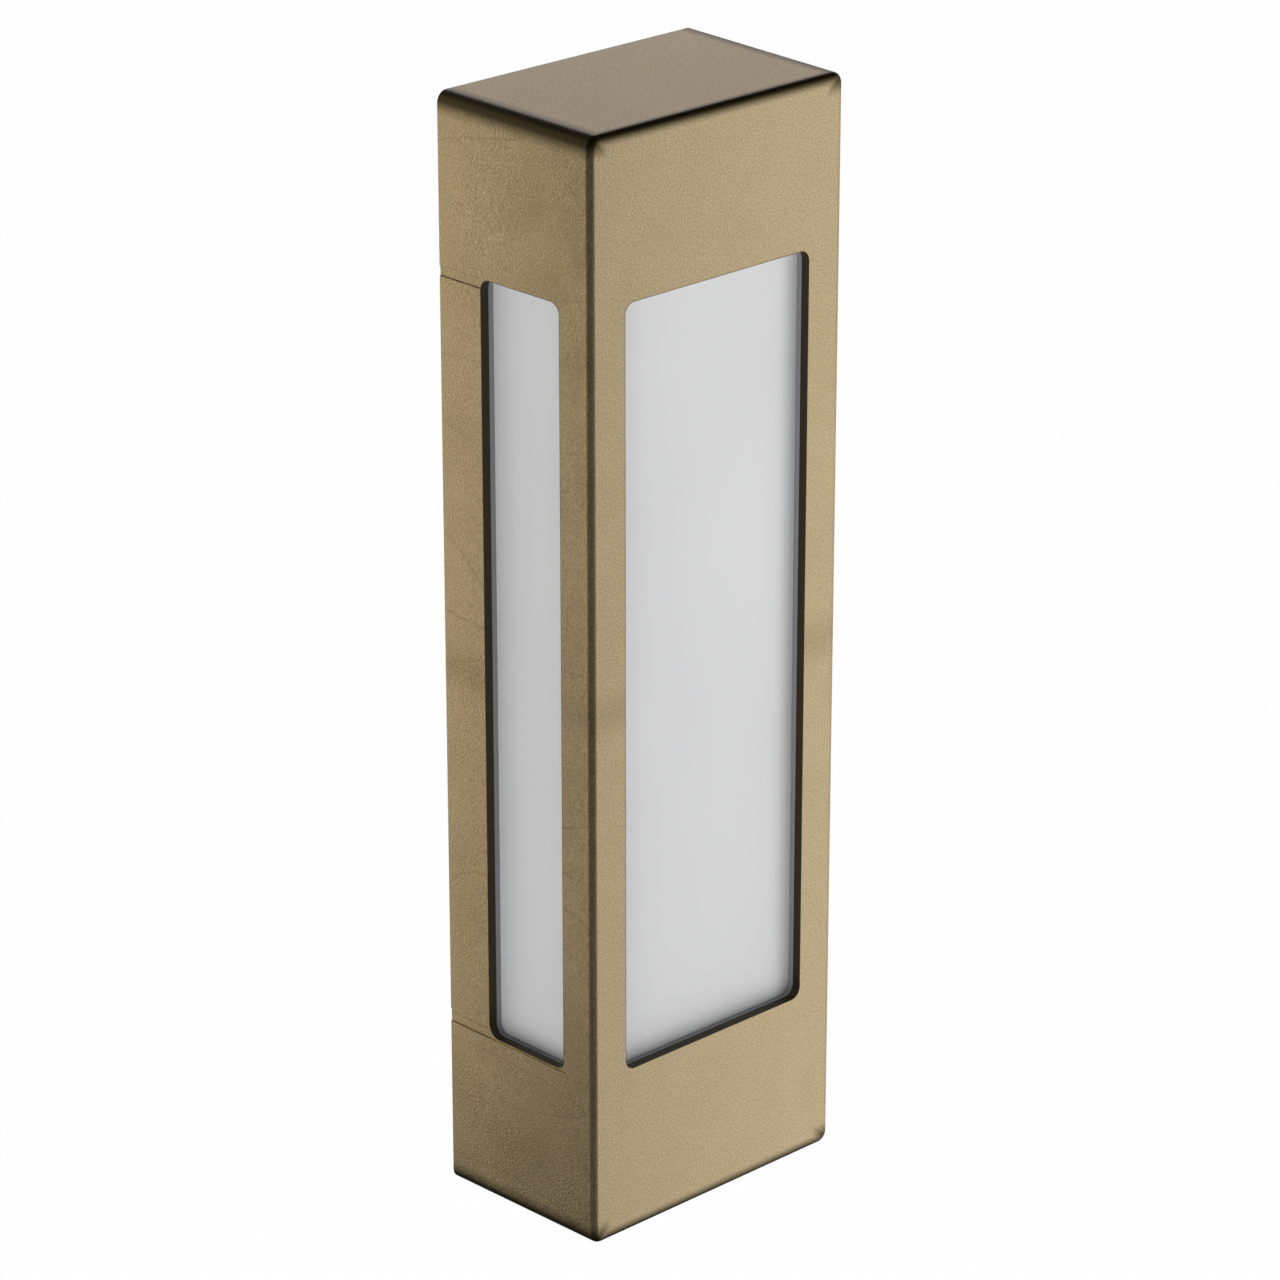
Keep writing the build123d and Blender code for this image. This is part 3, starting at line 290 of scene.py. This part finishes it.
def epdm_foam():
    """Black EPDM foam tape: coarse closed cells that read as small shining pits."""
    material, tree, shader, place = start("black_epdm_foam")
    cells = add(tree, "ShaderNodeTexVoronoi", {"Vector": place, "Scale": 1 / (0.9 * MM), "Randomness": 1.0})
    tone = add(tree, "ShaderNodeMix", {"Factor": cells, "A": colour("#131313"), "B": colour("#2E2E2D")},
               data_type="RGBA")
    rough = add(tree, "ShaderNodeMapRange", {"Value": cells, "To Min": 0.55, "To Max": 0.95})
    bump = add(tree, "ShaderNodeBump", {"Height": cells, "Distance": 0.25 * MM})
    feed(tree, shader, Base_Color=tone, Roughness=rough, Normal=bump)
    return material


THREAD_PITCH = 0.5 * MM


def vent_membrane():
    """Expanded PTFE membrane on a fine woven scrim: white, dull, with a regular over-and-under weave."""
    material, tree, shader, place = start("white_ptfe_membrane")
    # A wave texture makes a band every pi / 10 of its scaled coordinate.
    scale = math.pi / (10 * THREAD_PITCH)
    across, along = [
        add(tree, "ShaderNodeTexWave", {"Vector": place, "Scale": scale}, bands_direction=way).outputs["Fac"]
        for way in ("X", "Z")
    ]
    weave = add(tree, "ShaderNodeMath", {0: across, 1: along}, operation="MULTIPLY")
    tone = add(tree, "ShaderNodeMix", {"Factor": weave, "A": colour("#C9C9C6"), "B": colour("#E4E4E1")},
               data_type="RGBA")
    rough = add(tree, "ShaderNodeMapRange", {"Value": weave, "To Min": 0.95, "To Max": 0.8})
    bump = add(tree, "ShaderNodeBump", {"Height": weave, "Distance": 0.04 * MM})
    feed(tree, shader, Base_Color=tone, Roughness=rough, Normal=bump)
    return material


# ---- Metals ----
def metal(name, dull, bright, roughness, stretch, streak, depth=0.004 * MM):
    """A metal whose making left streaks. Stretch is how many streak widths long they are, along each axis."""
    material, tree, shader, place = start(name, Metallic=1.0)
    pulled = add(tree, "ShaderNodeMapping", {"Vector": place, "Scale": [1 / (streak * s) for s in stretch]})
    streaks = add(tree, "ShaderNodeTexNoise", {"Vector": pulled, "Scale": 1.0, "Detail": 3.0})
    tone = add(tree, "ShaderNodeMix", {"Factor": streaks, "A": colour(dull), "B": colour(bright)},
               data_type="RGBA")
    rough = add(tree, "ShaderNodeMapRange", {
        "Value": streaks, "To Min": roughness - 0.08, "To Max": roughness + 0.08})
    bump = add(tree, "ShaderNodeBump", {"Height": streaks, "Distance": depth})
    feed(tree, shader, Base_Color=tone, Roughness=rough, Normal=bump)
    return material


ROLL_LINE = (0.3 * MM, 0.3 * MM, 9 * MM)


def zinc_sheet():
    """Galvanised steel sheet: overlapping grey spangles, some catching the light more than others."""
    material, tree, shader, place = start("galvanised_steel_sheet", Metallic=1.0)
    spangle = add(tree, "ShaderNodeTexVoronoi", {"Vector": place, "Scale": 1 / (5 * MM), "Detail": 1.0})
    level = add(tree, "ShaderNodeSeparateColor", {0: spangle.outputs["Color"]})
    tone = add(tree, "ShaderNodeMix", {"Factor": level, "A": colour("#A9ACAE"), "B": colour("#BDC0C2")},
               data_type="RGBA")
    rough = add(tree, "ShaderNodeMapRange", {"Value": level, "To Min": 0.36, "To Max": 0.44})
    rolled = add(tree, "ShaderNodeMapping", {"Vector": place, "Scale": [1 / size for size in ROLL_LINE]})
    lines = add(tree, "ShaderNodeTexNoise", {"Vector": rolled, "Scale": 1.0, "Detail": 2.0})
    bump = add(tree, "ShaderNodeBump", {"Height": lines, "Strength": 0.6, "Distance": 0.006 * MM})
    feed(tree, shader, Base_Color=tone, Roughness=rough, Normal=bump)
    return material


# ---- Boards ----
def circuit_board(name, mask, track, pitch):
    """Solder mask over copper on glass-epoxy: glossy, with the tracks standing faintly through the colour."""
    material, tree, shader, place = start(name, IOR=1.52)
    turned = add(tree, "ShaderNodeMapping", {"Vector": place, "Rotation": (math.pi / 2, 0, 0)})
    tracks = add(tree, "ShaderNodeTexBrick", {
        "Vector": turned, "Scale": 1.0, "Brick Width": 3 * pitch, "Row Height": pitch,
        "Mortar Size": 0.12 * pitch,
        "Color1": colour(track), "Color2": colour(track), "Mortar": colour(mask)})
    gloss = add(tree, "ShaderNodeTexNoise", {"Vector": place, "Scale": 1 / (2 * MM), "Detail": 2.0})
    rough = add(tree, "ShaderNodeMapRange", {"Value": gloss, "To Min": 0.25, "To Max": 0.4})
    bump = add(tree, "ShaderNodeBump", {"Height": tracks.outputs["Fac"], "Distance": 0.03 * MM}, invert=True)
    feed(tree, shader, Base_Color=tracks, Roughness=rough, Normal=bump)
    return material


def led_package():
    """Yellow phosphor in clear silicone that fills a PPA package: uneven yellow, smooth and wet-looking."""
    material, tree, shader, place = start("led_phosphor_in_ppa", IOR=1.45)
    blend = add(tree, "ShaderNodeTexNoise", {"Vector": place, "Scale": 1 / (0.6 * MM), "Detail": 2.0})
    tone = add(tree, "ShaderNodeMix", {"Factor": blend, "A": colour("#E6C44E"), "B": colour("#F1DA86")},
               data_type="RGBA")
    rough = add(tree, "ShaderNodeMapRange", {"Value": blend, "To Min": 0.15, "To Max": 0.35})
    feed(tree, shader, Base_Color=tone, Roughness=rough)
    return material


ALONG_Z = (1, 1, 12)
ROUND_Z = (12, 12, 1)
EVEN = (1, 1, 1)
bronze = bronze_shell()
sponge = silicone_sponge()
opal = opal_acrylic()
rubber = moulded("black_epdm_rubber", "#1B1B1B", 0.72, grain=0.7 * MM, depth=0.02 * MM)
screw_zinc = metal("zinc_plated_screw_steel", "#9A9DA1", "#C4C7C9", 0.32, EVEN, 0.5 * MM)
brass = metal("turned_brass", "#B08A3E", "#DDB766", 0.25, ROUND_Z, 0.15 * MM)
stainless = metal("cold_headed_stainless", "#A3A3A1", "#CBCBC8", 0.24, EVEN, 0.6 * MM)
tinned = metal("tinned_copper_strip", "#B9B5AA", "#DAD7CF", 0.3, ALONG_Z, 0.3 * MM)
cover_black = moulded("black_abs_cover", "#222223", 0.56, grain=0.6 * MM, depth=0.02 * MM)
terminal_grey = moulded("grey_polyamide", "#BFC1C1", 0.42, depth=0.006 * MM)
brown_lever = moulded("brown_polyamide", "#5A3420", 0.4, depth=0.006 * MM)
blue_lever = moulded("blue_polyamide", "#2A5FA8", 0.4, depth=0.006 * MM)
nylon = moulded("natural_nylon", "#E2E1DA", 0.45, depth=0.005 * MM)
galvanised = zinc_sheet()
FINISHES = {
    "housing": bronze,
    "front_window_gasket": sponge,
    "right_window_gasket": sponge,
    "left_window_gasket": sponge,
    "front_pane": opal,
    "right_pane": opal,
    "left_pane": opal,
    "light_chamber": moulded("white_polycarbonate_reflector", "#F0F0EE", 0.5, depth=0.005 * MM),
    "chamber_screws": screw_zinc,
    "led_plate": metal("mill_finish_aluminium", "#B9BCBF", "#DADCDE", 0.38, ALONG_Z, 0.4 * MM),
    "led_plate_screws": screw_zinc,
    "led_board": circuit_board("white_mask_led_board", "#E6E6E2", "#F2F2EF", 2.2 * MM),
    "led_chips": led_package(),
    "led_driver_case": moulded("grey_polycarbonate_case", "#D2D2CE", 0.5),
    "led_driver_lid": moulded("grey_polycarbonate_lid", "#CBCBC7", 0.5),
    "led_driver_board": circuit_board("green_mask_driver_board", "#1E5A34", "#2B6E43", 1.6 * MM),
    "led_driver_components": moulded("black_epoxy_and_sleeve", "#252527", 0.38, depth=0.008 * MM),
    "rear_cover": cover_black,
    "rear_cover_seal": rubber,
    "rear_cover_screws": screw_zinc,
    "wall_foam_seal": epdm_foam(),
    "vent_patch": vent_membrane(),
    "lead_grommet": rubber,
    "terminal_block": terminal_grey,
    "terminal_contacts": tinned,
    "live_lever": brown_lever,
    "neutral_lever": blue_lever,
    "brass_inserts": brass,
    "live_lead": moulded("brown_pvc_insulation", "#553019", 0.42, depth=0.004 * MM),
    "neutral_lead": moulded("blue_pvc_insulation", "#2459A6", 0.42, depth=0.004 * MM),
    "led_positive_lead": moulded("red_pvc_insulation", "#B3231D", 0.42, depth=0.004 * MM),
    "led_negative_lead": moulded("black_pvc_insulation", "#1C1C1D", 0.42, depth=0.004 * MM),
    "wall_bracket": galvanised,
    "cable_grommet": rubber,
    "left_fixing_screw": stainless,
    "right_fixing_screw": stainless,
    "left_screw_washer": nylon,
    "right_screw_washer": nylon,
}
for name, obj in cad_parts.items():
    for place in obj.material_slots:
        place.material = FINISHES[name]


# ---- Repeated details, grown by Geometry Nodes ----
def new_tree(name, sockets):
    """A geometry tree with named inputs and one geometry output."""
    tree = bpy.data.node_groups.new(name, "GeometryNodeTree")
    tree.interface.new_socket("Geometry", in_out="OUTPUT", socket_type="NodeSocketGeometry")
    for label, kind in sockets.items():
        tree.interface.new_socket(label, in_out="INPUT", socket_type="NodeSocket" + kind)
    return tree, add(tree, "NodeGroupInput")


def close_tree(tree, made, material):
    """Ends a tree: real geometry, with its material on it."""
    real = add(tree, "GeometryNodeRealizeInstances", {0: made})
    dressed = add(tree, "GeometryNodeSetMaterial", {"Geometry": real, "Material": material})
    add(tree, "NodeGroupOutput", {0: dressed})
    return tree


def marks_tree():
    """Low round marks in rows and columns on a face that looks at the wall."""
    tree, given = new_tree("ejector_mark_grid", {
        "Columns": "Int", "Rows": "Int", "Width": "Float", "Height": "Float", "Radius": "Float",
        "Thickness": "Float", "Place": "Vector", "Material": "Material"})
    sizes = given.outputs
    grid = add(tree, "GeometryNodeMeshGrid", {
        "Size X": sizes["Width"], "Size Y": sizes["Height"],
        "Vertices X": sizes["Columns"], "Vertices Y": sizes["Rows"]})
    disc = add(tree, "GeometryNodeMeshCylinder", {
        "Vertices": 28, "Radius": sizes["Radius"], "Depth": sizes["Thickness"]})
    spots = add(tree, "GeometryNodeMeshToPoints", {"Mesh": grid})
    discs = add(tree, "GeometryNodeInstanceOnPoints", {"Points": spots, "Instance": disc})
    stood = add(tree, "GeometryNodeTransform", {
        "Geometry": discs, "Translation": sizes["Place"], "Rotation": (math.pi / 2, 0, 0)})
    return close_tree(tree, stood, sizes["Material"])


def ring_tree():
    """Small bars set round a circle, each pointing away from its middle. The circle may be tilted."""
    tree, given = new_tree("ring_of_ribs", {
        "Count": "Int", "Radius": "Float", "Bar": "Vector", "Tilt": "Float", "Place": "Vector",
        "Material": "Material"})
    sizes = given.outputs
    circle = add(tree, "GeometryNodeMeshCircle", {"Vertices": sizes["Count"], "Radius": sizes["Radius"]})
    spots = add(tree, "GeometryNodeMeshToPoints", {"Mesh": circle})
    where = add(tree, "GeometryNodeInputPosition")
    outward = add(tree, "FunctionNodeAlignRotationToVector", {"Vector": where}, axis="X")
    bar = add(tree, "GeometryNodeMeshCube", {"Size": sizes["Bar"]})
    bars = add(tree, "GeometryNodeInstanceOnPoints", {
        "Points": spots, "Instance": bar, "Rotation": outward})
    turn = add(tree, "ShaderNodeCombineXYZ", {"X": sizes["Tilt"]})
    stood = add(tree, "GeometryNodeTransform", {
        "Geometry": bars, "Translation": sizes["Place"], "Rotation": turn})
    return close_tree(tree, stood, sizes["Material"])


def grown(name, tree, sizes, body):
    """Runs a tree with these sizes, and keeps the result as a plain mesh that rides on a body."""
    host = bpy.data.objects.new(name + "_host", bpy.data.meshes.new(name + "_host"))
    bpy.context.scene.collection.objects.link(host)
    modifier = host.modifiers.new("grow", "NODES")
    modifier.node_group = tree
    for socket in tree.interface.items_tree:
        if socket.in_out == "INPUT":
            modifier[socket.identifier] = sizes[socket.name]
    bpy.context.view_layer.update()
    mesh = bpy.data.meshes.new_from_object(host.evaluated_get(bpy.context.evaluated_depsgraph_get()))
    bpy.data.objects.remove(host)
    mesh.name = name
    piece = bpy.data.objects.new(name, mesh)
    bpy.context.scene.collection.objects.link(piece)
    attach(piece, body)
    return piece


MARKS = marks_tree()
RIBS = ring_tree()

# Ejector pins leave round marks on the rear cover, beside the bracket.
COVER_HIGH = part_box("rear_cover")[1]
BRACKET_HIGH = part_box("wall_bracket")[1]
COVER_BACK_REACH = 5.2 * MM
SKIRT_T = 3.2 * MM
MARK_R = 2.2 * MM
MARK_T = 0.3 * MM
MARK_SPAN = 200 * MM
mark_x = (BRACKET_HIGH.x + COVER_HIGH.x - SKIRT_T) / 2
grown("cover_ejector_marks", MARKS, {
    "Columns": 2, "Rows": 5, "Width": 2 * mark_x, "Height": MARK_SPAN, "Radius": MARK_R, "Thickness": MARK_T,
    "Place": Vector((0, -COVER_BACK_REACH, 0)), "Material": cover_black}, "head")

# Ribs round the hole in each face of the cable grommet.
GROMMET_LOW, GROMMET_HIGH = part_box("cable_grommet")
grommet_z = (GROMMET_LOW.z + GROMMET_HIGH.z) / 2
grommet_r = (GROMMET_HIGH.x - GROMMET_LOW.x) / 2
CABLE_R = 4.0 * MM
RIB_H = 0.5 * MM
RIB_W = 0.7 * MM
rib_l = 0.55 * (grommet_r - CABLE_R)
for label, reach in (("front", -GROMMET_LOW.y), ("rear", -GROMMET_HIGH.y)):
    inward = -0.2 * RIB_H if label == "front" else 0.2 * RIB_H
    grown(f"grommet_{label}_ribs", RIBS, {
        "Count": 18, "Radius": (grommet_r + CABLE_R) / 2, "Bar": Vector((rib_l, RIB_W, RIB_H)),
        "Tilt": math.pi / 2, "Place": Vector((0, -reach - inward, grommet_z)), "Material": rubber},
        "bracket")

# Knurling round each brass insert's mouth.
INSERT_LOW, INSERT_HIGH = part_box("brass_inserts")
INSERT_R = 2.8 * MM
INSERT_RIM = 0.4 * MM
INSERT_TOOTH = (0.6 * MM, 0.3 * MM, 0.24 * MM)
insert_x = INSERT_HIGH.x - INSERT_R
insert_reach = -(INSERT_LOW.y + INSERT_HIGH.y) / 2
for label, side in (("left", -1), ("right", 1)):
    grown(f"{label}_insert_serration", RIBS, {
        "Count": 24, "Radius": INSERT_R - INSERT_RIM, "Bar": Vector(INSERT_TOOTH),
        "Tilt": 0.0, "Place": Vector((side * insert_x, -insert_reach, INSERT_HIGH.z)), "Material": brass},
        "head")


# ---- Floor, light and camera ----
FLOOR_DROP = 1.6
FLOOR_SIZE = 60.0


def pale_floor():
    half = FLOOR_SIZE / 2
    mesh = bpy.data.meshes.new("floor")
    corners = [(-half, -half, -FLOOR_DROP), (half, -half, -FLOOR_DROP), (half, half, -FLOOR_DROP),
               (-half, half, -FLOOR_DROP)]
    mesh.from_pydata(corners, [], [(0, 1, 2, 3)])
    floor = bpy.data.objects.new("floor", mesh)
    bpy.context.scene.collection.objects.link(floor)
    material, tree, shader, place = start("matt_pale_floor", Roughness=0.9, Emission_Strength=0.97)
    shader.inputs["Base Color"].default_value = colour("#9A9A9A")
    shader.inputs["Emission Color"].default_value = (1, 1, 1, 1)
    mesh.materials.append(material)
    floor.visible_glossy = False
    floor.visible_shadow = False


def softbox(name, toward, distance, size, power, seen_in, tint="#FFFFFF"):
    """A rectangular studio light that stands off the lantern's middle and faces it. It shows in gloss, or
    it lights what is matt."""
    middle = Vector((0, -DEPTH / 2, 0))
    lamp = bpy.data.lights.new(name, "AREA")
    lamp.shape = "RECTANGLE"
    lamp.size, lamp.size_y = size
    lamp.energy = power
    lamp.color = colour(tint)[:3]
    box = bpy.data.objects.new(name, lamp)
    bpy.context.scene.collection.objects.link(box)
    direction = Vector(toward).normalized()
    box.location = middle + direction * distance
    box.rotation_euler = direction.to_track_quat("Z", "Y").to_euler()
    box.visible_camera = False
    box.visible_diffuse = seen_in == "matt"
    box.visible_glossy = seen_in == "gloss"
    return box


def studio_world():
    """A dim room about the softboxes, with a plain pale backdrop behind what the camera sees."""
    world = bpy.data.worlds.new("studio")
    bpy.context.scene.world = world
    world.use_nodes = True
    tree = world.node_tree
    room = add(tree, "ShaderNodeBackground", {"Color": colour("#FFFFFF"), "Strength": 0.06})
    backdrop = add(tree, "ShaderNodeBackground", {"Color": colour("#FEFEFE"), "Strength": 1.0})
    ray = add(tree, "ShaderNodeLightPath").outputs["Is Camera Ray"]
    both = add(tree, "ShaderNodeMixShader", {0: ray, 1: room, 2: backdrop})
    tree.links.new(both.outputs[0], tree.nodes["World Output"].inputs["Surface"])


CAMERA_AZIMUTH = math.radians(-43.55)
CAMERA_ELEVATION = math.radians(22.05)
CAMERA_DISTANCE = 1.3104
CAMERA_LENS = 143.0
CAMERA_RIGHT = -0.78 * MM
CAMERA_UP = 0.69 * MM


def place_camera():
    level = math.cos(CAMERA_ELEVATION)
    back = Vector((math.sin(CAMERA_AZIMUTH) * level, -math.cos(CAMERA_AZIMUTH) * level,
                   math.sin(CAMERA_ELEVATION)))
    right = Vector((0, 0, 1)).cross(back).normalized()
    up = back.cross(right)
    lens = bpy.data.cameras.new("camera")
    lens.lens = CAMERA_LENS
    lens.sensor_width = 36.0
    lens.clip_end = 100.0
    camera = bpy.data.objects.new("camera", lens)
    bpy.context.scene.collection.objects.link(camera)
    middle = Vector((0, -DEPTH / 2, 0))
    camera.location = middle + back * CAMERA_DISTANCE + right * CAMERA_RIGHT + up * CAMERA_UP
    camera.rotation_euler = back.to_track_quat("Z", "Y").to_euler()
    bpy.context.scene.camera = camera


pale_floor()
studio_world()
# The first three only make reflections on the shell; the last two only light what is matt.
softbox("right_softbox", (0.88, -0.46, -0.20), 0.58, (0.62, 1.0), 2.65, seen_in="gloss", tint="#F6F9FF")
softbox("left_softbox", (-0.23, 0.94, 0.005), 0.62, (0.60, 1.0), 4.1, seen_in="gloss", tint="#FFFAF0")
softbox("top_softbox", (0.64, 0.67, 0.45), 0.90, (0.7, 0.4), 0.85, seen_in="gloss", tint="#F4F3FA")
softbox("front_fill", (0.55, -0.83, 0.08), 0.38, (0.3, 0.4), 0.44, seen_in="matt")
softbox("side_fill", (-0.93, -0.30, 0.12), 0.90, (0.5, 0.5), 1.33, seen_in="matt")
place_camera()
bpy.context.scene.view_settings.view_transform = "Standard"
